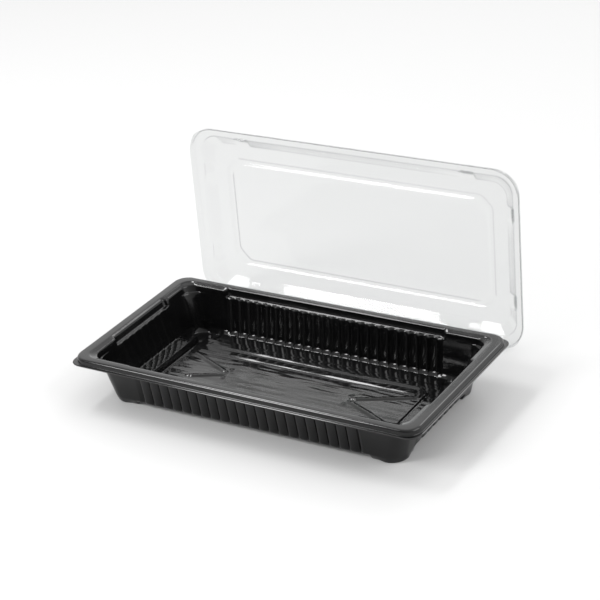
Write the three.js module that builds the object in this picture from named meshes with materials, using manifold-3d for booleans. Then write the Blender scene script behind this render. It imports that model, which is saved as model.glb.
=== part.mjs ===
// Takeaway sushi tray: a black thermoformed tray with fluted walls, and its shallow clear lid,
// which stands upright on one long edge behind the tray. Millimetres, +Z up, the tray's front
// faces -Y. The origin is on the table, under the middle of the two pieces together.

import * as THREE from 'three';
import { mergeVertices } from 'three/addons/utils/BufferGeometryUtils.js';
import Module from 'manifold-3d';

// The tray's driving sizes
const rimLength = 235;          // raised rim, outer edge, along X
const rimDepth = 120;           // raised rim, outer edge, along Y
const trayHeight = 32;          // table to rim top
const trayWall = 0.7;           // thickness of the formed sheet
const footHeight = 1.5;         // corner feet below the base
const rimStep = 3.5;            // the rim's drop to the lip round it
const lipWidth = 1.9;           // lip outside the rim
const lipTab = 1.5;             // how far the lip's corner tabs stand out
const rimCorner = 9;            // plan radius of the rim's outer corners
const rimFlatX = 6.3;           // flat rim top, at the short sides
const rimFlatY = 4.8;           // flat rim top, at the long sides
const wallTopX = 107.8;         // half length inside, just under the rim
const wallTopY = 52.5;          // half depth inside, just under the rim
const wallFootX = 100.2;        // half length inside, at the foot of the walls
const wallFootY = 48.6;         // half depth inside, at the foot of the walls
const wallFootZ = 2.9;          // height of the walls' foot
const rimEdge = 0.8;            // bevel round the rim's outer edge
const rimInnerDrop = 1.2;       // rim top to the top of the inside walls
const ledgeDrop = 5.4;          // rim top to the stacking ledge
const ledgeWidth = 1.9;         // how far the wall above the ledge stands back
const recessCorner = 4.5;       // plan radius of the corners above the ledge
const wallCorner = 9.5;         // plan radius of the corners below the ledge
const endFluteRise = 2.9;       // the short sides' flutes end this much higher
const endSlope = 7.4;           // width of the slope below them
const fluteBulge = 0.5;         // flute crown outside the plain wall
const fluteCusp = 0.9;          // groove between two flutes inside the plain wall
const longFlutes = 22;
const longPitch = 6.8;
const shortFlutes = 7;
const shortPitch = 6.85;
const bandMargin = 2.7;         // the set-back band runs this far past the last flute
const jogLength = 1.5;          // length of the jog at each end of the band
const footStartX = 81;          // the feet reach from here to the corner, along X
const footStartY = 31;          // and from here along Y
const footWidth = 7.5;          // width of a foot's sole

// The tray's floor
const panelX = 84;              // half length of the floor panel
const panelY = 36.9;            // half depth of the floor panel
const panelChamferX = 13;
const panelChamferY = 11;
const panelFlank = 0.8;         // width of the slope round the raised panel
const panelRise = 1.2;
const ribHeight = 0.7;
const ribWidth = 1.7;
const ribRoot = 0.3;            // the ribs and dots reach this far into the floor
const longRibY = [20.5, 28.2];  // ribs along X, both sides of the middle
const longRibHalf = 76;
const diagonalRib = { outer: [79, 16], inner: [50, 2.3], gap: 2.6 };
const dotPlace = [43, 7];
const dotRadius = 1.5;

// The lid's driving sizes
const lidLength = 236;
const lidDepth = 120;
const lidWall = 0.6;
const lidCorner = 19;           // plan radius of the free edge's corners
const flangeCorner = 13;        // plan radius of the corners where skirt and flange meet
const shoulderCorner = 12;      // plan radius of the corners at the flange's inner edge
const skirtDepth = 4.6;         // free edge to the flange's face
const skirtTaper = 2;           // the flange's edge lies this far inside the free edge
const flangeInset = 6.4;        // outer edge to the flange's inner edge
const shoulderStep = 1.4;       // short rise at the flange's inner edge
const shoulderInset = 12.7;     // outer edge to the deck's edge
const lidHeight = 9.9;          // free edge to the deck
const deckCorner = 10;
const lidTab = 0.9;             // the free edge's corner tabs stand out this far
const beadInset = 22.4;         // outer edge to the bead on the deck
const beadWidth = 4;
const beadHeight = 1.2;
const beadChamfer = 9;
const lugLength = 10.5;
const lugBulge = 1.3;
const lugAtX = 81;              // lugs on the long sides
const lugAtY = 29;              // lugs on the short sides
const lugRamp = 1.2;

// Where the lid stands
const lidGap = 36;              // rim's back edge to the lid's free edge
const lidShift = -9;            // sideways, along X
const lidLean = THREE.MathUtils.degToRad(1.5);

const wasm = await Module();
wasm.setup();

// A station is a place on a rounded rectangle: on side 0 to 3 (front, right, back, left) at a
// distance along it, or in the corner that follows that side, at a fraction of its quarter turn.
// s orders the stations round the outline.
const sideDirections = [[1, 0], [0, 1], [-1, 0], [0, -1]];
const sideSpan = 300;
const cornerSpan = 100;

function sideStation(side, along, flute = null) {
  const s = side * (sideSpan + cornerSpan) + sideSpan / 2 + along;
  return { side, along, corner: false, flute, s };
}

function cornerStation(side, fraction) {
  const s = side * (sideSpan + cornerSpan) + sideSpan + cornerSpan * fraction;
  return { side, fraction, corner: true, s };
}

function cornerStations(side, steps) {
  const stations = [];
  for (let k = 0; k <= steps; k++) {
    stations.push(cornerStation(side, k / steps));
  }
  return stations;
}

// mirrored marks along one side, sorted
function mirrored(values) {
  return values.flatMap((v) => [-v, v]).sort((a, b) => a - b);
}

function outlineStations(marksX, marksY, cornerSteps) {
  const stations = [];
  for (let side = 0; side < 4; side++) {
    const marks = side % 2 === 0 ? marksX : marksY;
    for (const along of mirrored(marks)) {
      stations.push(sideStation(side, along));
    }
    stations.push(...cornerStations(side, cornerSteps));
  }
  return stations;
}

// adds the flutes' stations to the plain ones: a cusp, a flank, the crown and a flank each
const fluteShape = [[0, 0], [0.2, 0.76], [0.5, 1], [0.8, 0.76]];

function withFlutes(plain) {
  const stations = [...plain];
  for (let side = 0; side < 4; side++) {
    const count = side % 2 === 0 ? longFlutes : shortFlutes;
    const pitch = side % 2 === 0 ? longPitch : shortPitch;
    const start = -count * pitch / 2;
    for (let k = 0; k < count; k++) {
      for (const [at, height] of fluteShape) {
        stations.push(sideStation(side, start + (k + at) * pitch, height));
      }
    }
    stations.push(sideStation(side, -start, 0));
  }
  return stations.sort((a, b) => a.s - b.s);
}

// A ring: the stations of an outline with half sizes hx and hy and corner radius r, at height z.
// out(station) moves a point outwards, lift(station) moves it up.
function ring(stations, hx, hy, r, z, out = () => 0, lift = () => 0) {
  const points = stations.map((station) => {
    const [dx, dy] = sideDirections[station.side];
    const push = out(station);
    const height = z + lift(station);
    if (!station.corner) {
      const reach = station.side % 2 === 0 ? hy : hx;
      const x = dx * station.along + dy * (reach + push);
      const y = dy * station.along - dx * (reach + push);
      return new THREE.Vector3(x, y, height);
    }
    const angle = -Math.PI / 2 + (station.side + station.fraction) * Math.PI / 2;
    const signX = station.side === 0 || station.side === 1 ? 1 : -1;
    const signY = station.side === 1 || station.side === 2 ? 1 : -1;
    const x = signX * (hx - r) + (r + push) * Math.cos(angle);
    const y = signY * (hy - r) + (r + push) * Math.sin(angle);
    return new THREE.Vector3(x, y, height);
  });
  return { points, s: stations.map((station) => station.s) };
}

// an eight-sided ring with its corners cut
function chamferedRing(hx, hy, chamferX, chamferY, z) {
  const stations = outlineStations([hx - chamferX], [hy - chamferY], 1).filter((t) => !t.corner);
  return ring(stations, hx, hy, 0, z);
}

class MeshBuilder {
  constructor() {
    this.positions = [];
    this.index = [];
  }

  add(loop) {
    const first = this.positions.length / 3;
    for (const p of loop.points) {
      this.positions.push(p.x, p.y, p.z);
    }
    return { first, count: loop.points.length, s: loop.s };
  }

  // joins two loops by a strip; the loops may have different numbers of points
  strip(a, b, flip) {
    const turn = 4 * (sideSpan + cornerSpan);
    const next = (loop, k) => (k < loop.count ? loop.s[k] : loop.s[k - loop.count] + turn);
    let i = 0;
    let j = 0;
    while (i < a.count || j < b.count) {
      const a0 = a.first + (i % a.count);
      const b0 = b.first + (j % b.count);
      const advanceA = j >= b.count || (i < a.count && next(a, i + 1) <= next(b, j + 1));
      const corner = advanceA ? a.first + ((i + 1) % a.count) : b.first + ((j + 1) % b.count);
      if (flip) {
        this.index.push(a0, b0, corner);
      } else {
        this.index.push(a0, corner, b0);
      }
      if (advanceA) {
        i++;
      } else {
        j++;
      }
    }
  }

  // closes a convex loop with a fan from its first point
  cap(loop, faceUp) {
    for (let k = 1; k < loop.count - 1; k++) {
      const [p, q, t] = [loop.first, loop.first + k, loop.first + k + 1];
      this.index.push(...(faceUp ? [p, q, t] : [p, t, q]));
    }
  }

  geometry() {
    const geometry = new THREE.BufferGeometry();
    geometry.setAttribute('position', new THREE.Float32BufferAttribute(this.positions, 3));
    geometry.setIndex(this.index);
    return geometry;
  }
}

// A formed sheet: the upper skin's rings from the outer edge to the middle, and the lower skin's
// rings from the outer edge to the middle, closed at the edge and in the middle.
function sheetGeometry(upper, lower) {
  const builder = new MeshBuilder();
  const top = upper.map((loop) => builder.add(loop));
  const bottom = lower.map((loop) => builder.add(loop));
  for (let k = 0; k + 1 < top.length; k++) {
    builder.strip(top[k], top[k + 1], false);
  }
  for (let k = 0; k + 1 < bottom.length; k++) {
    builder.strip(bottom[k], bottom[k + 1], true);
  }
  builder.strip(top[0], bottom[0], true);
  builder.cap(top.at(-1), true);
  builder.cap(bottom.at(-1), false);
  return builder.geometry();
}

function toManifold(geometry) {
  const bare = geometry.clone();
  bare.deleteAttribute('normal');
  bare.deleteAttribute('uv');
  const merged = mergeVertices(bare, 1e-4);
  return new wasm.Manifold(new wasm.Mesh({
    numProp: 3,
    vertProperties: new Float32Array(merged.attributes.position.array),
    triVerts: new Uint32Array(merged.index.array),
  }));
}

function fromManifold(solid) {
  const mesh = solid.getMesh();
  const geometry = new THREE.BufferGeometry();
  geometry.setAttribute('position', new THREE.Float32BufferAttribute(mesh.vertProperties, 3));
  geometry.setIndex([...mesh.triVerts]);
  return geometry;
}

// The tray
const rimX = rimLength / 2;
const rimY = rimDepth / 2;
const ledgeZ = trayHeight - ledgeDrop;
const baseZ = footHeight + trayWall;
const bandX = longFlutes * longPitch / 2 + bandMargin;
const bandY = shortFlutes * shortPitch / 2 + bandMargin;

// corner tab: grows from nothing to its full size in the middle of a corner
function cornerTab(size, sharpness = 2) {
  return (station) => (station.corner ? size * Math.sin(Math.PI * station.fraction) ** sharpness : 0);
}

// the wall above the ledge stands back along the flutes
function bandOut(station) {
  if (station.corner) {
    return 0;
  }
  const limit = station.side % 2 === 0 ? bandX : bandY;
  return Math.abs(station.along) <= limit ? ledgeWidth : 0;
}

function fluteOut(station) {
  if (station.corner || station.flute === null) {
    return 0;
  }
  return -fluteCusp + (fluteCusp + fluteBulge) * station.flute;
}

function onFoot(station) {
  const start = station.side % 2 === 0 ? footStartX : footStartY;
  return station.corner || Math.abs(station.along) > start;
}

function footDrop(station) {
  return onFoot(station) ? -footHeight : 0;
}

function onSlope(station) {
  return station.side % 2 === 1 && !onFoot(station);
}

function trayRings(skin) {
  const plain = outlineStations(
    [bandX, bandX + jogLength, footStartX - 0.4, footStartX + jogLength],
    [bandY, bandY + jogLength, footStartY - 0.4, footStartY + jogLength],
    6,
  );
  const fluted = withFlutes(plain);
  const lipZ = trayHeight - rimStep - skin;
  const underRimZ = trayHeight - rimInnerDrop;
  const tab = cornerTab(lipTab);
  // the lower skin lies one sheet thickness outside the walls and below the flats
  const wallX = (z) => THREE.MathUtils.mapLinear(z, underRimZ, wallFootZ, wallTopX, wallFootX) + skin;
  const wallY = (z) => THREE.MathUtils.mapLinear(z, underRimZ, wallFootZ, wallTopY, wallFootY) + skin;
  const wall = (stations, z, r, out, lift) => ring(stations, wallX(z), wallY(z), r + skin, z, out, lift);
  const stepIn = skin > 0 ? trayWall + 0.1 : 0;
  const flatX = rimX - rimFlatX;
  const flatY = rimY - rimFlatY;
  const soleX = wallFootX - 1;
  const soleY = wallFootY - 1;
  const innerX = soleX - footWidth;
  const innerY = soleY - footWidth;
  // the short sides' flutes end higher, where the wall stands further out
  const endRise = (t) => (onSlope(t) ? endFluteRise : 0);
  const endOut = (t) => (onSlope(t) ? wallX(wallFootZ + endFluteRise) - wallX(wallFootZ) : 0);
  const slopeIn = (t) => (onSlope(t) ? -endSlope : 0);
  return [
    ring(plain, rimX + lipWidth, rimY + lipWidth, rimCorner + lipWidth, lipZ, tab),
    ring(plain, rimX + 0.4 - stepIn, rimY + 0.4 - stepIn, rimCorner + 0.4 - stepIn, lipZ),
    ring(plain, rimX - stepIn, rimY - stepIn, rimCorner - stepIn, trayHeight - rimEdge - skin),
    ring(plain, rimX - rimEdge - stepIn / 2, rimY - rimEdge - stepIn / 2, rimCorner - rimEdge,
      trayHeight - skin),
    ring(plain, flatX, flatY, 7.5, trayHeight - skin, (t) => bandOut(t) * 0.3),
    ring(plain, flatX - 1 + skin * 0.5, flatY - 1 + skin * 0.5, 6, trayHeight - 0.4 - skin,
      (t) => bandOut(t) * 0.5),
    wall(plain, underRimZ - skin, recessCorner, bandOut),
    wall(plain, ledgeZ - skin, recessCorner, bandOut),
    wall(fluted, ledgeZ - skin, wallCorner, fluteOut),
    wall(fluted, wallFootZ, wallCorner - 1.5, (t) => fluteOut(t) + endOut(t), endRise),
    ring(plain, soleX + skin * 0.4, soleY + skin * 0.4, wallCorner - 2, baseZ - skin,
      slopeIn, footDrop),
    ring(plain, innerX, innerY, 3, baseZ - skin, () => 0, footDrop),
    ring(plain, innerX - 1.2, innerY - 1.2, 2.5, baseZ - skin),
    chamferedRing(panelX, panelY, panelChamferX, panelChamferY, baseZ - skin),
  ];
}

function trayFloorRings(skin) {
  const rise = baseZ + panelRise - skin;
  return [chamferedRing(panelX - panelFlank, panelY - panelFlank, panelChamferX, panelChamferY, rise)];
}

// a low rib with a flat crown, along the line from one floor point to another
function floorRib(from, to) {
  const floorZ = baseZ + panelRise;
  const profile = new THREE.Shape([
    new THREE.Vector2(-ribWidth / 2, -ribRoot),
    new THREE.Vector2(ribWidth / 2, -ribRoot),
    new THREE.Vector2(ribWidth / 2, 0.1),
    new THREE.Vector2(ribWidth / 4, ribHeight),
    new THREE.Vector2(-ribWidth / 4, ribHeight),
    new THREE.Vector2(-ribWidth / 2, 0.1),
  ]);
  const start = new THREE.Vector3(from[0], from[1], floorZ);
  const end = new THREE.Vector3(to[0], to[1], floorZ);
  const along = end.clone().sub(start);
  const rib = new THREE.ExtrudeGeometry(profile, { depth: along.length(), bevelEnabled: false });
  const zAxis = along.clone().normalize();
  const yAxis = new THREE.Vector3(0, 0, 1);
  const xAxis = yAxis.clone().cross(zAxis);
  rib.applyMatrix4(new THREE.Matrix4().makeBasis(xAxis, yAxis, zAxis).setPosition(start));
  return toManifold(rib);
}

function floorDot(x, y) {
  const dot = new THREE.CylinderGeometry(dotRadius * 0.6, dotRadius, ribHeight + ribRoot, 10);
  dot.rotateX(Math.PI / 2);
  dot.translate(x, y, baseZ + panelRise + (ribHeight - ribRoot) / 2);
  return toManifold(dot);
}

function buildTray() {
  const upper = [...trayRings(0), ...trayFloorRings(0)];
  const lower = [...trayRings(trayWall), ...trayFloorRings(trayWall)];
  let tray = toManifold(sheetGeometry(upper, lower));
  for (const sy of [-1, 1]) {
    for (const y of longRibY) {
      tray = tray.add(floorRib([-longRibHalf, sy * y], [longRibHalf, sy * y]));
    }
    for (const sx of [-1, 1]) {
      const [outerX, outerY] = diagonalRib.outer;
      const [innerX, innerY] = diagonalRib.inner;
      for (const shift of [0, diagonalRib.gap]) {
        tray = tray.add(floorRib(
          [sx * (outerX - shift), sy * outerY],
          [sx * (innerX - shift), sy * innerY],
        ));
      }
      tray = tray.add(floorDot(sx * dotPlace[0], sy * dotPlace[1]));
    }
  }
  return fromManifold(tray);
}

// The lid, lying as on the tray: free edge at z = 0, deck on top
const lugMarksX = [lugAtX - lugLength / 2, lugAtX - lugLength / 2 + lugRamp,
  lugAtX + lugLength / 2 - lugRamp, lugAtX + lugLength / 2];
const lugMarksY = [lugAtY - lugLength / 2, lugAtY - lugLength / 2 + lugRamp,
  lugAtY + lugLength / 2 - lugRamp, lugAtY + lugLength / 2];

function lugOut(station) {
  if (station.corner) {
    return 0;
  }
  const marks = station.side % 2 === 0 ? lugMarksX : lugMarksY;
  const at = Math.abs(station.along);
  return at > marks[0] + 0.1 && at < marks[3] - 0.1 ? lugBulge : 0;
}

function lidRings(skin) {
  const x = lidLength / 2;
  const y = lidDepth / 2;
  const plain = outlineStations(lugMarksX, lugMarksY, 8);
  const at = (inset, z, r, out) => ring(plain, x - inset, y - inset, r, z, out);
  const deckX = x - shoulderInset;
  const deckY = y - shoulderInset;
  const bead = (inset, z) => chamferedRing(x - inset, y - inset, beadChamfer, beadChamfer, z);
  const topZ = (z) => z - skin;
  const tab = cornerTab(lidTab, 6);
  return [
    at(skin, 0, lidCorner - skin, tab),
    at(skin, 0.9, lidCorner - skin, tab),
    at(skin, 1.5, lidCorner - skin),
    at(0.7 + skin, 3 - skin * 0.2, (lidCorner + flangeCorner) / 2 - skin),
    at(skirtTaper + skin * 0.5, topZ(skirtDepth), flangeCorner - skin * 0.5),
    at(flangeInset - 0.4 + skin * 0.6, topZ(skirtDepth), shoulderCorner, (t) => -lugOut(t) * 0.6),
    at(flangeInset + skin * 0.6, topZ(skirtDepth + shoulderStep), shoulderCorner - 0.4,
      (t) => lugOut(t) * 0.3),
    at(shoulderInset - 1.4 + skin * 0.5, topZ(lidHeight - 1.0), deckCorner, lugOut),
    ring(plain, deckX, deckY, deckCorner - 0.6, topZ(lidHeight), (t) => lugOut(t) * 0.5),
    bead(beadInset, topZ(lidHeight)),
    bead(beadInset + beadWidth * 0.3, topZ(lidHeight + beadHeight)),
    bead(beadInset + beadWidth * 0.7, topZ(lidHeight + beadHeight)),
    bead(beadInset + beadWidth, topZ(lidHeight)),
  ];
}

function buildLid() {
  return fromManifold(toManifold(sheetGeometry(lidRings(0), lidRings(lidWall))));
}

// Materials and assembly
const blackPlastic = new THREE.MeshStandardMaterial({ color: 0x0b0b0c, roughness: 0.18, metalness: 0 });
const clearPlastic = new THREE.MeshStandardMaterial({
  color: 0xf2f5f6,
  roughness: 0.06,
  metalness: 0,
  transparent: true,
  opacity: 0.3,
});

function namedMesh(name, geometry, material) {
  const mesh = new THREE.Mesh(geometry, material);
  mesh.name = name;
  return mesh;
}

const tray = namedMesh('tray', buildTray(), blackPlastic);

// the lid turns about its lower long edge: the open side to the front, the deck to the back
const lid = namedMesh('lid', buildLid(), clearPlastic);
lid.position.z = lidDepth / 2;
lid.rotation.x = -Math.PI / 2;
const lidStand = new THREE.Group();
lidStand.add(lid);
lidStand.rotation.x = -lidLean;
lidStand.position.set(lidShift, rimY + lidGap, 0);
lidStand.updateMatrixWorld(true);
lidStand.position.z = -new THREE.Box3().setFromObject(lid, true).min.z;

const model = new THREE.Group();
model.add(tray, lidStand);
model.updateMatrixWorld(true);

// set the origin under the middle of both pieces
const middle = new THREE.Box3().setFromObject(model, true).getCenter(new THREE.Vector3());
model.position.set(-middle.x, -middle.y, 0);

export default model;
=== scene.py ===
import math

import bmesh
import bpy
from mathutils import Matrix, Vector, noise


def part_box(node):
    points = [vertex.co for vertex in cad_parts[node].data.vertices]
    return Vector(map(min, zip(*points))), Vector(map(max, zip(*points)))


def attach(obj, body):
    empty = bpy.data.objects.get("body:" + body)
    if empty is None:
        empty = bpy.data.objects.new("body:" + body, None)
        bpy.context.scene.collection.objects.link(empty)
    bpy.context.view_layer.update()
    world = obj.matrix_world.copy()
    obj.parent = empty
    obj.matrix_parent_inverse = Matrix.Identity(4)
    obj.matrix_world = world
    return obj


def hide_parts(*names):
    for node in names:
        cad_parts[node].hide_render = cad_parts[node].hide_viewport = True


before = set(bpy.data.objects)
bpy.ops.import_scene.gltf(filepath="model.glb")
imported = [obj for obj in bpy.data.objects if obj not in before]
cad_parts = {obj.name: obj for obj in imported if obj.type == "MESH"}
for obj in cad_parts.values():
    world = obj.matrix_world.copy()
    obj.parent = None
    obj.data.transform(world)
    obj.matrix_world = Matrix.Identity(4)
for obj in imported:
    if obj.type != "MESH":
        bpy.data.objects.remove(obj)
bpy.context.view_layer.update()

mm = 0.001               # sizes below are in millimetres, meshes are in metres


def clearSelection():
    if bpy.context.mode != "OBJECT":
        bpy.ops.object.mode_set(mode="OBJECT")
    bpy.ops.object.select_all(action="DESELECT")


def onlySelect(piece):
    clearSelection()
    piece.select_set(True)
    bpy.context.view_layer.objects.active = piece


def smoothStep(low, high, value):
    t = min(1.0, max(0.0, (value - low) / (high - low)))
    return t * t * (3 - 2 * t)


def middleOf(node):
    low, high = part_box(node)
    return (low + high) / 2


# A place on an outline is on one of its four sides (front, right, back, left) and so far
# along it, or part of the way round the corner that follows that side.
sideWay = ((1, 0), (0, 1), (-1, 0), (0, -1))


def outlinePlaces(longMarks, shortMarks, cornerSteps):
    places = []
    for side in range(4):
        for along, flute in sorted(shortMarks if side % 2 else longMarks):
            places.append({"side": side, "along": along, "turn": None, "flute": flute})
        for k in range(cornerSteps + 1):
            places.append({"side": side, "along": 0.0, "turn": k / cornerSteps, "flute": None})
    return places


def bothWays(values):
    return [(sign * v, None) for v in values for sign in (-1, 1)]


# one ring of points: half sizes, corner radius and height, with pushes outwards and up
def ringPoints(places, halfX, halfY, radius, height, out=None, lift=None):
    points = []
    for place in places:
        push = out(place) if out else 0.0
        z = height + (lift(place) if lift else 0.0)
        side = place["side"]
        dx, dy = sideWay[side]
        if place["turn"] is None:
            reach = (halfX if side % 2 else halfY) + push
            points.append(Vector((dx * place["along"] + dy * reach,
                                  dy * place["along"] - dx * reach, z)))
        else:
            angle = (side + place["turn"] - 1) * math.pi / 2
            signX = 1 if side in (0, 1) else -1
            signY = 1 if side in (1, 2) else -1
            points.append(Vector((signX * (halfX - radius) + (radius + push) * math.cos(angle),
                                  signY * (halfY - radius) + (radius + push) * math.sin(angle),
                                  z)))
    return points


# Rounds the fold at each ring: the ring's points give way to a few on a curve between
# its two neighbours. Every fold is (points, rounding in mm, steps); the rounding can be a
# pair, for the long sides and for the short ones.
def softenFolds(places, folds):
    rings = []
    for k, (points, rounding, steps) in enumerate(folds):
        if k in (0, len(folds) - 1) or rounding == 0:
            rings.append(points)
            continue
        before, after = folds[k - 1][0], folds[k + 1][0]
        for s in range(steps + 1):
            t = s / steps
            ring = []
            for where, p, a, b in zip(places, points, before, after):
                reach = rounding[where["side"] % 2] if isinstance(rounding, tuple) else rounding
                toA, toB = a - p, b - p
                start = p + toA * min(0.48, reach / max(toA.length, 1e-6))
                end = p + toB * min(0.48, reach / max(toB.length, 1e-6))
                ring.append(start * (1 - t) ** 2 + p * 2 * t * (1 - t) + end * t * t)
            rings.append(ring)
    return rings


# draws a sheet ring by ring: a circle is set to the first ring, then its edge is extruded
def drawSheet(name, rings, place):
    clearSelection()
    bpy.ops.mesh.primitive_circle_add(vertices=len(rings[0]), radius=0.1)
    piece = bpy.context.active_object
    piece.name = piece.data.name = name
    for vertex, point in zip(piece.data.vertices, rings[0]):
        vertex.co = place(point)
    mark = piece.data.attributes.new("outlinePlace", "INT", "POINT")
    mark.data.foreach_set("value", list(range(len(rings[0]))))
    bpy.ops.object.mode_set(mode="EDIT")
    bpy.ops.mesh.select_all(action="SELECT")
    for ring in rings[1:]:
        bpy.ops.mesh.extrude_edges_move()
        bm = bmesh.from_edit_mesh(piece.data)
        number = bm.verts.layers.int["outlinePlace"]
        for vertex in bm.verts:
            if vertex.select:
                vertex.co = place(ring[vertex[number]])
        bmesh.update_edit_mesh(piece.data)
    return piece


def applyModifier(piece, kind, **settings):
    onlySelect(piece)
    modifier = piece.modifiers.new(kind.lower(), kind)
    for setting, value in settings.items():
        setattr(modifier, setting, value)
    bpy.ops.object.modifier_apply(modifier=modifier.name)


# the black tray: sizes from its middle, in mm
tray = {
    "rimX": 117.5, "rimY": 60.0, "height": 32.0, "sheet": 0.6,
    "rimStep": 3.5, "rimCorner": 9.0, "rimFlatX": 6.3, "rimFlatY": 4.8,
    "lip": 1.88, "lipTab": 1.5, "lipEdge": 0.5, "lipSag": 0.15, "lipRise": 0.1, "stepOut": 0.3,
    "flatCorner": 7.5, "flatDrop": 0.5, "flatDropCorner": 6.0, "flatBand": (0.3, 0.5),
    "wallTopX": 107.8, "wallTopY": 52.5, "wallFootX": 100.2, "wallFootY": 48.6, "footZ": 2.9,
    "underRim": 1.2, "ledgeDrop": 5.4, "ledge": 1.9, "ledgeHalf": 0.15, "fluteStart": 3.2,
    "recessCorner": 8.0, "wallCorner": 10.5, "wallFootCorner": 9.0,
    "longFlutes": 22, "longPitch": 6.8, "shortFlutes": 7, "shortPitch": 6.85,
    "fluteBulge": 0.5, "fluteCusp": 1.3, "endFluteRise": 2.3, "endFluteShare": 0.35,
    "flutePoints": (0.0, 0.07, 0.18, 0.33, 0.5, 0.67, 0.82, 0.93),
    "shelfEdge": 89.3, "shelfRise": 4.8, "shelfFoot": 88.5,
    "bandMargin": 2.7, "jog": 1.5, "bandTilt": 0.2, "tooth": 1.2,
    "footStartX": 81.0, "footStartY": 31.0, "foot": 1.5, "footWidth": 7.5,
    "soleInX": 1.2, "soleInY": 1.8, "soleCorner": 8.5, "cornerPush": 1.1,
    "cornerSteps": 8, "smoothAngle": 48,
}

# how far each fold is rounded in mm (or for the long and short sides), and in how many steps
trayRounding = {
    "lip": (0.5, 3), "step": (0.6, 3), "rim": (1.9, 7), "rimInner": (1.0, 3), "rimDrop": (0.5, 2),
    "recess": (0.8, 3), "ledgeTop": (0.5, 3), "ledge": ((1.4, 0.5), 6), "flutes": (0.6, 2),
    "teeth": (0.7, 4), "sole": (0.5, 2), "soleInner": (0.5, 2), "open": (0, 0),
}

trayFloor = {
    "halfX": 87.6, "halfY": 37.4, "columns": 164, "rows": 104,
    "panelX": 83.0, "panelY": 36.5, "panelShift": -3.8, "cutX": 13.0, "cutY": 11.0,
    "panelRise": 1.6,
    "ribHeight": 0.7, "ribHalfWidth": 1.0, "ribY": (20.5, 28.2), "ribHalf": 76.0,
    "slantFrom": (80.0, 17.0), "slantTo": (47.0, 1.8), "slantGap": 2.6, "marksShift": -3.8,
    "shortSlantFrom": (66.0, 10.5),
    "dot": (43.0, 5.0), "dotRadius": 1.4,
    "waveHeight": 0.2, "longWave": (34, 3.1, 3.7), "shortWave": (14, 1.9, 9.1), "shortShare": 0.5,
    "edgeReach": 3, "edgeCrowd": 2.9, "plainHalf": 40.0, "plainCrowd": 0.33,
}


def fluteMarks(count, pitch):
    marks = []
    for k in range(count):
        for at in tray["flutePoints"]:
            marks.append(((k + at - count / 2) * pitch, abs(2 * at - 1)))
    marks.append((count / 2 * pitch, 1.0))
    return marks


def trayPlaces():
    flutesX = tray["longFlutes"] * tray["longPitch"] / 2
    flutesY = tray["shortFlutes"] * tray["shortPitch"] / 2
    bandX, bandY = flutesX + tray["bandMargin"], flutesY + tray["bandMargin"]
    jogs = (0.0, 0.4, 0.75, 1.1, 1.5)
    longMarks = fluteMarks(tray["longFlutes"], tray["longPitch"])
    longMarks += bothWays([bandX + j for j in jogs])
    longMarks += bothWays([tray["footStartX"] + j - 0.4 for j in jogs] + [84.0, 86.0])
    shortMarks = fluteMarks(tray["shortFlutes"], tray["shortPitch"])
    shortMarks += bothWays([bandY + j for j in jogs])
    shortMarks += bothWays([tray["footStartY"] + j - 0.4 for j in jogs] + [34.0])
    return outlinePlaces(longMarks, shortMarks, tray["cornerSteps"]), bandX, bandY


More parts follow.
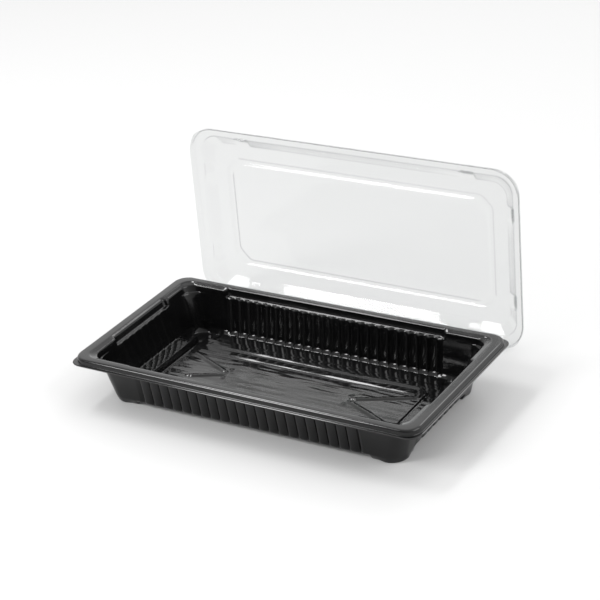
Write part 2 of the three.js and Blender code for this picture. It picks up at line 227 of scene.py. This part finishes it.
def trayFolds():
    places, bandX, bandY = trayPlaces()
    top, ledgeZ = tray["height"], tray["height"] - tray["ledgeDrop"]
    baseZ = tray["foot"] + tray["sheet"]
    underRim = top - tray["underRim"]

    def lipTab(place):
        return tray["lipTab"] * math.sin(math.pi * place["turn"]) ** 2 if place["turn"] else 0.0

    def bandShare(place):
        if place["turn"] is not None:
            return 0.0
        end = bandY if place["side"] % 2 else bandX
        return 1 - smoothStep(end, end + tray["jog"], abs(place["along"]))

    def footShare(place):
        if place["turn"] is not None:
            return 1.0
        start = tray["footStartY"] if place["side"] % 2 else tray["footStartX"]
        return smoothStep(start - 0.4, start + 1.1, abs(place["along"]))

    def endShare(place):
        return 1 - footShare(place) if place["side"] % 2 else 0.0

    def fluteOut(place, power=4.0):
        if place["flute"] is None:
            return 0.0
        depth = tray["endFluteShare"] if place["side"] % 2 else 1.0
        bulge = 1 - place["flute"] ** power
        return depth * (-tray["fluteCusp"] + (tray["fluteCusp"] + tray["fluteBulge"]) * bulge)

    def wallHalf(z):
        t = (underRim - z) / (underRim - tray["footZ"])
        return (tray["wallTopX"] + (tray["wallFootX"] - tray["wallTopX"]) * t,
                tray["wallTopY"] + (tray["wallFootY"] - tray["wallTopY"]) * t)

    def wall(z, radius, out, lift=None):
        return ringPoints(places, *wallHalf(z), radius, z, out, lift)

    def rim(inset, radius, z, out=None):
        return ringPoints(places, tray["rimX"] - inset, tray["rimY"] - inset, radius, z, out)

    endStep = wallHalf(tray["footZ"] + tray["endFluteRise"])[0] - wallHalf(tray["footZ"])[0]
    flatX, flatY = tray["rimX"] - tray["rimFlatX"], tray["rimY"] - tray["rimFlatY"]
    soleX, soleY = tray["wallFootX"] - tray["soleInX"], tray["wallFootY"] - tray["soleInY"]
    innerX, innerY = soleX - tray["footWidth"], soleY - tray["footWidth"] + 0.8
    lipZ = top - tray["rimStep"]
    drop = lambda place: -tray["foot"] * footShare(place)
    cornerOut = lambda place: 0.0 if place["turn"] is None else tray["cornerPush"]
    shelf = lambda place: (tray["shelfEdge"] - soleX) * endShare(place) + cornerOut(place)
    shelfLift = lambda place: drop(place) + tray["shelfRise"] * endShare(place)
    shelfFoot = lambda place: (tray["shelfFoot"] - innerX) * endShare(place)
    tilt = lambda place: 0.0 if place["side"] % 2 else tray["bandTilt"]
    bandTop = lambda place: (tray["ledge"] + tilt(place)) * bandShare(place)
    bandFoot = lambda place: (tray["ledge"] - tilt(place)) * bandShare(place)
    rimCorner, lip, edge = tray["rimCorner"], tray["lip"], tray["lipEdge"]
    flatOut, dropOut = tray["flatBand"]
    turned = trayRounding
    return places, [
        (rim(-lip, rimCorner + lip, lipZ - tray["lipSag"], lipTab), *turned["open"]),
        (rim(-lip + edge, rimCorner + lip - edge, lipZ + tray["lipRise"], lipTab), *turned["lip"]),
        (rim(-tray["stepOut"], rimCorner + tray["stepOut"], lipZ), *turned["step"]),
        (rim(0.0, rimCorner, top), *turned["rim"]),
        (ringPoints(places, flatX, flatY, tray["flatCorner"], top,
                    lambda p: flatOut * bandShare(p)), *turned["rimInner"]),
        (ringPoints(places, flatX - 1, flatY - 1, tray["flatDropCorner"], top - tray["flatDrop"],
                    lambda p: dropOut * bandShare(p)), *turned["rimDrop"]),
        (wall(underRim, tray["recessCorner"], bandTop), *turned["recess"]),
        (wall(ledgeZ + tray["ledgeHalf"], tray["recessCorner"], bandFoot), *turned["ledgeTop"]),
        (wall(ledgeZ - tray["ledgeHalf"], tray["wallCorner"], lambda p: fluteOut(p, 2.0)),
         *turned["ledge"]),
        (wall(ledgeZ - tray["fluteStart"], tray["wallCorner"], fluteOut), *turned["flutes"]),
        (wall(tray["footZ"] + tray["tooth"], tray["wallFootCorner"],
              lambda p: fluteOut(p) + endStep * endShare(p),
              lambda p: (tray["endFluteRise"] - tray["tooth"]) * endShare(p)), *turned["teeth"]),
        (ringPoints(places, soleX, soleY, tray["soleCorner"], baseZ, shelf, shelfLift),
         *turned["sole"]),
        (ringPoints(places, innerX, innerY, 3, baseZ, shelfFoot, drop), *turned["soleInner"]),
        (ringPoints(places, tray["shelfFoot"] - 0.9, innerY - 1.2, 1.2, baseZ), *turned["open"]),
    ]


def distanceToLine(x, y, start, end):
    along = Vector(end) - Vector(start)
    t = min(1.0, max(0.0, (Vector((x, y)) - Vector(start)).dot(along) / along.length_squared))
    return (Vector((x, y)) - Vector(start) - along * t).length


def ridge(distance, halfWidth):
    return 1 - smoothStep(0.15 * halfWidth, 1.25 * halfWidth, distance)


# height of the floor above its lowest level
def floorRelief(x, y):
    f = trayFloor
    ax, ay = abs(x - f["panelShift"]), abs(y)
    cutLength = math.hypot(f["cutX"], f["cutY"])
    cornerIn = ((f["panelX"] - ax) * f["cutY"] + (f["panelY"] - ay) * f["cutX"]
                - f["cutX"] * f["cutY"]) / cutLength
    inside = min(f["panelX"] - ax, f["panelY"] - ay, cornerIn)
    relief = f["panelRise"] * smoothStep(-0.25, 0.25, inside)
    x, ax = x - f["marksShift"], abs(x - f["marksShift"])
    ribs = [ridge(distanceToLine(x, ay, (-f["ribHalf"], ribY), (f["ribHalf"], ribY)),
                  f["ribHalfWidth"]) for ribY in f["ribY"]]
    for shift in (0, f["slantGap"]):
        (fromX, fromY), (toX, toY) = f["slantFrom"], f["slantTo"]
        if x < 0 and y < 0:
            fromX, fromY = f["shortSlantFrom"]
        ribs.append(1.3 * ridge(distanceToLine(ax, ay, (fromX - shift, fromY), (toX - shift, toY)),
                                f["ribHalfWidth"] * 0.9))
    ribs.append(ridge(math.hypot(ax - f["dot"][0], ay - f["dot"][1]), f["dotRadius"]))
    edge = min(f["halfX"] - abs(x + f["marksShift"]), f["halfY"] - ay)
    longX, longY, longSlice = f["longWave"]
    shortX, shortY, shortSlice = f["shortWave"]
    wave = (noise.noise(Vector((x / longX, y / longY, longSlice)))
            + f["shortShare"] * noise.noise(Vector((x / shortX, y / shortY, shortSlice))))
    return relief + f["ribHeight"] * max(ribs) + f["waveHeight"] * wave * smoothStep(0, 3, edge)


# grid lines from -half to half: close beside the panel's edges, wide across a plain middle
def gridLines(half, count, edges, middle, plainHalf):
    samples = 4000
    crowd = [0.0]
    for k in range(samples):
        at = half * (2 * (k + 0.5) / samples - 1)
        if min(abs(at - edge) for edge in edges) < trayFloor["edgeReach"]:
            share = trayFloor["edgeCrowd"]
        else:
            share = trayFloor["plainCrowd"] if abs(at - middle) < plainHalf else 1.0
        crowd.append(crowd[-1] + share)
    lines, k = [], 0
    for line in range(count + 1):
        while k < samples and crowd[k] < crowd[-1] * line / count:
            k += 1
        lines.append(half * (2 * k / samples - 1))
    return lines


def makeTray():
    places, folds = trayFolds()
    middle = middleOf("tray")
    baseZ = tray["foot"] + tray["sheet"]

    def place(point):
        return Vector((middle.x + point.x * mm, middle.y + point.y * mm, point.z * mm))

    piece = drawSheet("blackTray", softenFolds(places, folds), place)
    clearSelection()
    print("tray walls drawn")

    # the floor: a fine grid, raised where its ribs, dots and panel stand
    f = trayFloor
    bpy.ops.mesh.primitive_grid_add(x_subdivisions=f["columns"], y_subdivisions=f["rows"], size=2)
    floor = bpy.context.active_object
    linesX = gridLines(f["halfX"], f["columns"],
                       [f["panelShift"] - f["panelX"], f["panelShift"] + f["panelX"]],
                       f["marksShift"], f["plainHalf"])
    linesY = gridLines(f["halfY"], f["rows"], [-f["panelY"], f["panelY"]], 0, 0)
    for vertex in floor.data.vertices:
        x = linesX[round((vertex.co.x + 1) / 2 * f["columns"])]
        y = linesY[round((vertex.co.y + 1) / 2 * f["rows"])]
        vertex.co = place(Vector((x, y, baseZ + floorRelief(x, y))))
    onlySelect(piece)
    floor.select_set(True)
    bpy.ops.object.join()

    # closes the flat strip between the walls and the grid
    bpy.ops.object.mode_set(mode="EDIT")
    bpy.ops.mesh.select_all(action="DESELECT")
    bm = bmesh.from_edit_mesh(piece.data)
    lipTop = (tray["height"] - tray["rimStep"] - 1) * mm
    for edge in bm.edges:
        if edge.is_boundary and edge.verts[0].co.z < lipTop:
            edge.select_set(True)
    bmesh.update_edit_mesh(piece.data)
    bpy.ops.mesh.fill(use_beauty=True)
    bpy.ops.mesh.select_all(action="SELECT")
    bpy.ops.mesh.normals_make_consistent(inside=False)
    bpy.ops.object.mode_set(mode="OBJECT")
    if sum(p.normal.z * p.area for p in piece.data.polygons) < 0:
        piece.data.flip_normals()
    print("tray floor drawn")

    applyModifier(piece, "SOLIDIFY", thickness=tray["sheet"] * mm, offset=-1, use_even_offset=True,
                  use_quality_normals=True)
    for vertex in piece.data.vertices:
        vertex.co.z = max(vertex.co.z, 0.0)     # the soles are flat on the table
    onlySelect(piece)
    bpy.ops.object.shade_smooth_by_angle(angle=math.radians(tray["smoothAngle"]))
    print("tray has its thickness:", len(piece.data.polygons), "faces")
    return piece


# the clear lid, drawn lying down with its free edge at height 0, in mm
lid = {
    "halfX": 117.98, "halfY": 59.98, "sheet": 0.5, "corner": 19.0, "flangeCorner": 13.0,
    "skirt": 4.6, "skirtTaper": 2.0, "skirtTop": (0.1, 1.5), "skirtMiddle": (0.7, 3.0),
    "flange": 6.4, "shoulderStep": 1.4, "shoulderDrop": 1.0,
    "shoulder": 12.7, "height": 9.87, "deckCorner": 10.0, "tab": 0.9, "tabHeight": 0.9,
    "frame": 21.4, "frameWidth": 5.0, "frameHeight": 1.2, "frameCut": 7.5, "frameBend": 2.2,
    "lugLength": 10.5, "lugBulge": 1.8, "lugX": 81.0, "lugY": 29.0,
    "lugAtFlange": -0.6, "lugAtStep": 0.3, "lugAtDeck": 0.5,
    "lean": 1.5, "cornerSteps": 16, "smoothAngle": 40,
}

# how far each fold is rounded in mm, and in how many steps
lidRounding = {
    "tab": (0.3, 2), "skirtTop": (0.3, 2), "skirtMiddle": (0.5, 2), "flangeEdge": (0.9, 4),
    "flange": (0.5, 3), "step": (0.6, 3), "shoulder": (0.7, 3), "frameFoot": (0.6, 3),
    "frameTop": (0.5, 3), "open": (0, 0),
}


def lidPlaces():
    share = (-0.5, -0.46, -0.41, -0.36, -0.3, 0.0, 0.3, 0.36, 0.41, 0.46, 0.5)
    longMarks = bothWays([lid["lugX"] + s * lid["lugLength"] for s in share] + [20.0, 50.0])
    shortMarks = bothWays([lid["lugY"] + s * lid["lugLength"] for s in share] + [10.0])
    return outlinePlaces(longMarks, shortMarks, lid["cornerSteps"])


# a ring with straight cuts across its corners, softened where the cut meets a side
def cutRing(places, inset, height):
    cut, bend, bendShare = lid["frameCut"], lid["frameBend"], 0.35
    halfX, halfY = lid["halfX"] - inset, lid["halfY"] - inset
    points = []
    for place in places:
        side = place["side"]
        dx, dy = sideWay[side]
        reach, half = (halfX, halfY) if side % 2 else (halfY, halfX)
        if place["turn"] is None:
            limit = half - cut - bend - 0.5
            widest = (lid["lugY"] if side % 2 else lid["lugX"]) + lid["lugLength"] / 2
            along, out = place["along"] * min(1.0, limit / widest), reach
        else:
            # along the cut, as the mean of a sharp corner's two bends
            t = place["turn"]
            a, b = Vector((half - cut, reach)), Vector((half, reach - cut))
            step = (b - a).normalized() * bend
            if t < bendShare:
                u = t / bendShare
                p0, p1, p2 = a - Vector((bend, 0)), a, a + step
            elif t > 1 - bendShare:
                u = (t - (1 - bendShare)) / bendShare
                p0, p1, p2 = b - step, b, b - Vector((0, bend))
            else:
                u = (t - bendShare) / (1 - 2 * bendShare)
                p0, p2 = a + step, b - step
                p1 = (p0 + p2) / 2
            along, out = p0 * (1 - u) ** 2 + p1 * 2 * u * (1 - u) + p2 * u * u
        points.append(Vector((dx * along + dy * out, dy * along - dx * out, height)))
    return points


def lidFolds():
    places = lidPlaces()

    def tab(place):
        return lid["tab"] * math.sin(math.pi * place["turn"]) ** 6 if place["turn"] else 0.0

    def lug(place):
        if place["turn"] is not None:
            return 0.0
        at = abs(place["along"]) - (lid["lugY"] if place["side"] % 2 else lid["lugX"])
        return lid["lugBulge"] * (1 - smoothStep(0.36, 0.49, abs(at) / lid["lugLength"]))

    def at(inset, radius, z, out=None):
        return ringPoints(places, lid["halfX"] - inset, lid["halfY"] - inset, radius, z, out)

    high, frameIn, frameWidth = lid["height"], lid["frame"], lid["frameWidth"]
    corner, flangeCorner = lid["corner"], lid["flangeCorner"]
    topIn, topHeight = lid["skirtTop"]
    middleIn, middleHeight = lid["skirtMiddle"]
    turned = lidRounding
    return places, [
        (at(0, corner, 0, tab), *turned["open"]),
        (at(0, corner, lid["tabHeight"], tab), *turned["tab"]),
        (at(topIn, corner - topIn, topHeight), *turned["skirtTop"]),
        (at(middleIn, (corner + flangeCorner) / 2, middleHeight), *turned["skirtMiddle"]),
        (at(lid["skirtTaper"], flangeCorner, lid["skirt"]), *turned["flangeEdge"]),
        (at(lid["flange"] - 0.4, flangeCorner - 1, lid["skirt"],
            lambda p: lid["lugAtFlange"] * lug(p)), *turned["flange"]),
        (at(lid["flange"], flangeCorner - 1.4, lid["skirt"] + lid["shoulderStep"],
            lambda p: lid["lugAtStep"] * lug(p)), *turned["step"]),
        (at(lid["shoulder"] - 1.4, lid["deckCorner"], high - lid["shoulderDrop"], lug),
         *turned["shoulder"]),
        (at(lid["shoulder"], lid["deckCorner"] - 0.6, high, lambda p: lid["lugAtDeck"] * lug(p)),
         *turned["shoulder"]),
        (cutRing(places, frameIn, high), *turned["frameFoot"]),
        (cutRing(places, frameIn + 0.3 * frameWidth, high + lid["frameHeight"]),
         *turned["frameTop"]),
        (cutRing(places, frameIn + 0.7 * frameWidth, high + lid["frameHeight"]),
         *turned["frameTop"]),
        (cutRing(places, frameIn + frameWidth, high), *turned["frameFoot"]),
        (cutRing(places, frameIn + frameWidth + 4, high), *turned["open"]),
    ]


def makeLid():
    places, folds = lidFolds()
    piece = drawSheet("clearLid", softenFolds(places, folds), lambda point: point * mm)
    bpy.ops.mesh.edge_face_add()     # the flat middle of the deck
    bpy.ops.mesh.select_all(action="SELECT")
    bpy.ops.mesh.normals_make_consistent(inside=False)
    bpy.ops.object.mode_set(mode="OBJECT")
    if sum(p.normal.z * p.area for p in piece.data.polygons) < 0:
        piece.data.flip_normals()
    applyModifier(piece, "SOLIDIFY", thickness=lid["sheet"] * mm, offset=-1, use_even_offset=True,
                  use_quality_normals=True)
    print("lid has its thickness:", len(piece.data.polygons), "faces")

    # stands on one long edge behind the tray, open side to the front, leaning back a little
    low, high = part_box("lid")
    onlySelect(piece)
    piece.rotation_euler = (-math.pi / 2, 0, 0)
    piece.location = (0, 0, lid["halfY"] * mm)
    bpy.ops.object.transform_apply(location=True, rotation=True, scale=True)
    piece.rotation_euler = (-math.radians(lid["lean"]), 0, 0)
    piece.location = ((low.x + high.x) / 2, low.y, 0)
    bpy.ops.object.transform_apply(location=True, rotation=True, scale=True)
    dip = min(v.co.z for v in piece.data.vertices)
    for vertex in piece.data.vertices:
        vertex.co.z -= dip
    bpy.ops.object.shade_smooth_by_angle(angle=math.radians(lid["smoothAngle"]))
    return piece


# an empty material with its output, ready for nodes
def newFinish(name):
    material = bpy.data.materials.new(name)
    material.use_nodes = True
    tree = material.node_tree
    tree.nodes.clear()
    output = tree.nodes.new("ShaderNodeOutputMaterial")
    return material, tree, output


def addNode(tree, kind, inputs=None, **settings):
    node = tree.nodes.new("ShaderNode" + kind)
    for setting, value in settings.items():
        setattr(node, setting, value)
    for socket, value in (inputs or {}).items():
        if isinstance(value, bpy.types.NodeSocket):
            tree.links.new(value, node.inputs[socket])
        else:
            node.inputs[socket].default_value = value
    return node


blackFinish = {
    "dark": (0.0015, 0.0015, 0.0016, 1), "light": (0.004, 0.004, 0.0042, 1),
    "glossLow": 0.05, "glossHigh": 0.12,
    "cloud": 60.0, "grain": 900.0, "grainStrength": 0.03, "grainDepth": 0.0002,
    "flow": (18.0, 210.0, 18.0), "flowStrength": 0.25, "flowDepth": 0.0003,
}


def blackPlastic():
    material, tree, output = newFinish("glossyBlackSheet")
    where = addNode(tree, "TexCoord").outputs["Object"]
    cloud = addNode(tree, "TexNoise", {"Vector": where, "Scale": blackFinish["cloud"],
                                       "Detail": 4.0, "Roughness": 0.6})
    speck = addNode(tree, "TexNoise", {"Vector": where, "Scale": blackFinish["grain"], "Detail": 3.0})
    stretched = addNode(tree, "Mapping", {"Vector": where, "Scale": blackFinish["flow"]})
    flow = addNode(tree, "TexNoise", {"Vector": stretched.outputs["Vector"], "Scale": 1.0,
                                      "Detail": 2.0, "Roughness": 0.5})
    colour = addNode(tree, "ValToRGB", {"Fac": cloud.outputs["Fac"]})
    colour.color_ramp.elements[0].color = blackFinish["dark"]
    colour.color_ramp.elements[1].color = blackFinish["light"]
    gloss = addNode(tree, "MapRange", {"Value": cloud.outputs["Fac"], "From Min": 0.3, "From Max": 0.7,
                                       "To Min": blackFinish["glossLow"],
                                       "To Max": blackFinish["glossHigh"]})
    grain = addNode(tree, "Bump", {"Height": speck.outputs["Fac"],
                                   "Strength": blackFinish["grainStrength"],
                                   "Distance": blackFinish["grainDepth"]})
    ripple = addNode(tree, "Bump", {"Height": flow.outputs["Fac"],
                                    "Strength": blackFinish["flowStrength"],
                                    "Distance": blackFinish["flowDepth"],
                                    "Normal": grain.outputs["Normal"]})
    shader = addNode(tree, "BsdfPrincipled", {
        "Base Color": colour.outputs["Color"], "Roughness": gloss.outputs["Result"],
        "Normal": ripple.outputs["Normal"], "IOR": 1.41})
    tree.links.new(shader.outputs["BSDF"], output.inputs["Surface"])
    return material


clearFinish = {
    # the second colour is the see-through colour at grazing angles: darker partly for the longer path
    # through the sheet and partly as painted shade for the dark lines refraction makes at the bends
    "tint": (0.903, 0.906, 0.906, 1), "grazingTintAndShade": (0.55, 0.56, 0.56, 1),
    "grazingTintAndShadeStart": 0.45, "gloss": 0.1, "cloud": 45.0, "ripple": 0.2, "rippleDepth": 0.0006,
    "mirrorLow": 0.022, "mirrorHigh": 0.6,
}


def clearPlastic():
    material, tree, output = newFinish("clearSheet")
    where = addNode(tree, "TexCoord").outputs["Object"]
    cloud = addNode(tree, "TexNoise", {"Vector": where, "Scale": clearFinish["cloud"],
                                       "Detail": 3.0})
    ripple = addNode(tree, "Bump", {"Height": cloud.outputs["Fac"], "Strength": clearFinish["ripple"],
                                    "Distance": clearFinish["rippleDepth"]})
    gloss = addNode(tree, "MapRange", {"Value": cloud.outputs["Fac"], "From Min": 0.3, "From Max": 0.7,
                                       "To Min": clearFinish["gloss"] * 0.6,
                                       "To Max": clearFinish["gloss"] * 1.5})
    # painted shade: the see-through colour darkens towards grazing angles, partly for the longer path
    # through the sheet and partly to stand in for the dark lines that refraction makes along the bends
    facing = addNode(tree, "LayerWeight", {"Blend": 0.5, "Normal": ripple.outputs["Normal"]})
    depth = addNode(tree, "ValToRGB", {"Fac": facing.outputs["Facing"]})
    depth.color_ramp.elements[0].color = clearFinish["tint"]
    depth.color_ramp.elements[0].position = clearFinish["grazingTintAndShadeStart"]
    depth.color_ramp.elements[1].color = clearFinish["grazingTintAndShade"]
    through = addNode(tree, "BsdfTransparent", {"Color": depth.outputs["Color"]})
    shine = addNode(tree, "BsdfGlossy", {"Color": (0.95, 0.95, 0.95, 1),
                                         "Roughness": gloss.outputs["Result"],
                                         "Normal": ripple.outputs["Normal"]})
    # more mirror-like at a glance; only where light enters the sheet, not where it leaves it
    steep = addNode(tree, "Math", {0: facing.outputs["Facing"], 1: 4.0}, operation="POWER")
    mirror = addNode(tree, "MapRange", {"Value": steep.outputs["Value"],
                                        "To Min": clearFinish["mirrorLow"],
                                        "To Max": clearFinish["mirrorHigh"]})
    side = addNode(tree, "NewGeometry")
    entering = addNode(tree, "Math", {0: 1.0, 1: side.outputs["Backfacing"]}, operation="SUBTRACT")
    share = addNode(tree, "Math", {0: mirror.outputs["Result"], 1: entering.outputs["Value"]},
                    operation="MULTIPLY")
    mix = addNode(tree, "MixShader", {0: share.outputs["Value"], 1: through.outputs["BSDF"],
                                      2: shine.outputs["BSDF"]})
    tree.links.new(mix.outputs["Shader"], output.inputs["Surface"])
    return material


def dress(piece, material, node):
    piece.data.materials.clear()
    piece.data.materials.append(material)
    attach(piece, "root")
    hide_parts(node)


dress(makeTray(), blackPlastic(), "tray")
print("tray dressed")
dress(makeLid(), clearPlastic(), "lid")
print("lid dressed")


# the pale studio: lamps as place, size (across, up) and watts; sizes in metres
studio = {
    "floorSize": 8.0, "floorColour": (0.5, 0.5, 0.5, 1),
    "skyWay": (0.1, 0.995, 0.0), "skyDim": 0.4, "skyBright": 1.95,
    "lamps": {
        "keyBox": ((-0.72, 0.1, 1.3), (0.5, 0.2), 6),
        "frontBox": ((-0.69, -0.92, 0.89), (0.4, 0.7), 15.6),
        "rightFill": ((1.2, 0.1, 0.9), (1.0, 0.8), 9),
        "backBox": ((0.1, 1.1, 1.0), (0.5, 0.3), 2),
    },
}


def makeFloor():
    clearSelection()
    bpy.ops.mesh.primitive_plane_add(size=studio["floorSize"])
    floor = bpy.context.active_object
    floor.name = "studioFloor"
    material, tree, output = newFinish("paleFloor")
    shader = addNode(tree, "BsdfPrincipled", {"Base Color": studio["floorColour"], "Roughness": 0.7,
                                              "Specular IOR Level": 0.2})
    tree.links.new(shader.outputs["BSDF"], output.inputs["Surface"])
    floor.data.materials.append(material)


def addSoftbox(name, place, target, size, power):
    data = bpy.data.lights.new(name, "AREA")
    data.shape = "RECTANGLE"
    data.size, data.size_y = size
    data.energy = power
    lamp = bpy.data.objects.new(name, data)
    bpy.context.scene.collection.objects.link(lamp)
    lamp.location = place
    lamp.rotation_euler = (Vector(target) - Vector(place)).to_track_quat("-Z", "Y").to_euler()


def makeLight():
    world = bpy.data.worlds.new("studioSky")
    bpy.context.scene.world = world
    world.use_nodes = True
    tree = world.node_tree
    sky = tree.nodes["Background"]
    sky.inputs["Color"].default_value = (1, 1, 1, 1)
    # brighter behind the object than in front of it
    way = addNode(tree, "TexCoord")
    towards = addNode(tree, "VectorMath", {0: way.outputs["Generated"], 1: studio["skyWay"]},
                      operation="DOT_PRODUCT")
    strength = addNode(tree, "MapRange", {"Value": towards.outputs["Value"], "From Min": -1.0,
                                          "From Max": 1.0, "To Min": studio["skyDim"],
                                          "To Max": studio["skyBright"]})
    tree.links.new(strength.outputs["Result"], sky.inputs["Strength"])
    for name, (place, size, power) in studio["lamps"].items():
        addSoftbox(name, place, (0, 0, 0), size, power)


camera = {
    "azimuth": 33.557, "elevation": 26.621, "roll": -5.878, "focal": 1904.8, "image": 600,
    "slideX": -7.56, "slideY": -28.14, "distance": 1140.9,
}


def makeCamera():
    azimuth, elevation = math.radians(camera["azimuth"]), math.radians(camera["elevation"])
    roll = math.radians(camera["roll"])
    back = Vector((math.sin(azimuth) * math.cos(elevation),
                   -math.cos(azimuth) * math.cos(elevation), math.sin(elevation)))
    right = (-back).cross(Vector((0, 0, 1))).normalized()
    up = right.cross(-back)
    right, up = (math.cos(roll) * right + math.sin(roll) * up,
                 -math.sin(roll) * right + math.cos(roll) * up)
    rimMiddle = middleOf("tray")
    rimMiddle.z = tray["height"] * mm
    place = rimMiddle + (back * camera["distance"] - right * camera["slideX"]
                         - up * camera["slideY"]) * mm
    data = bpy.data.cameras.new("photoCamera")
    data.sensor_width = 36.0
    data.lens = camera["focal"] / camera["image"] * data.sensor_width
    data.clip_start, data.clip_end = 0.05, 20
    eye = bpy.data.objects.new("photoCamera", data)
    bpy.context.scene.collection.objects.link(eye)
    eye.matrix_world = Matrix((
        (right.x, up.x, back.x, place.x),
        (right.y, up.y, back.y, place.y),
        (right.z, up.z, back.z, place.z),
        (0, 0, 0, 1)))
    bpy.context.scene.camera = eye


makeFloor()
makeLight()
makeCamera()
bpy.context.scene.view_settings.view_transform = "Standard"
bpy.context.scene.view_settings.look = "None"
print("studio set")
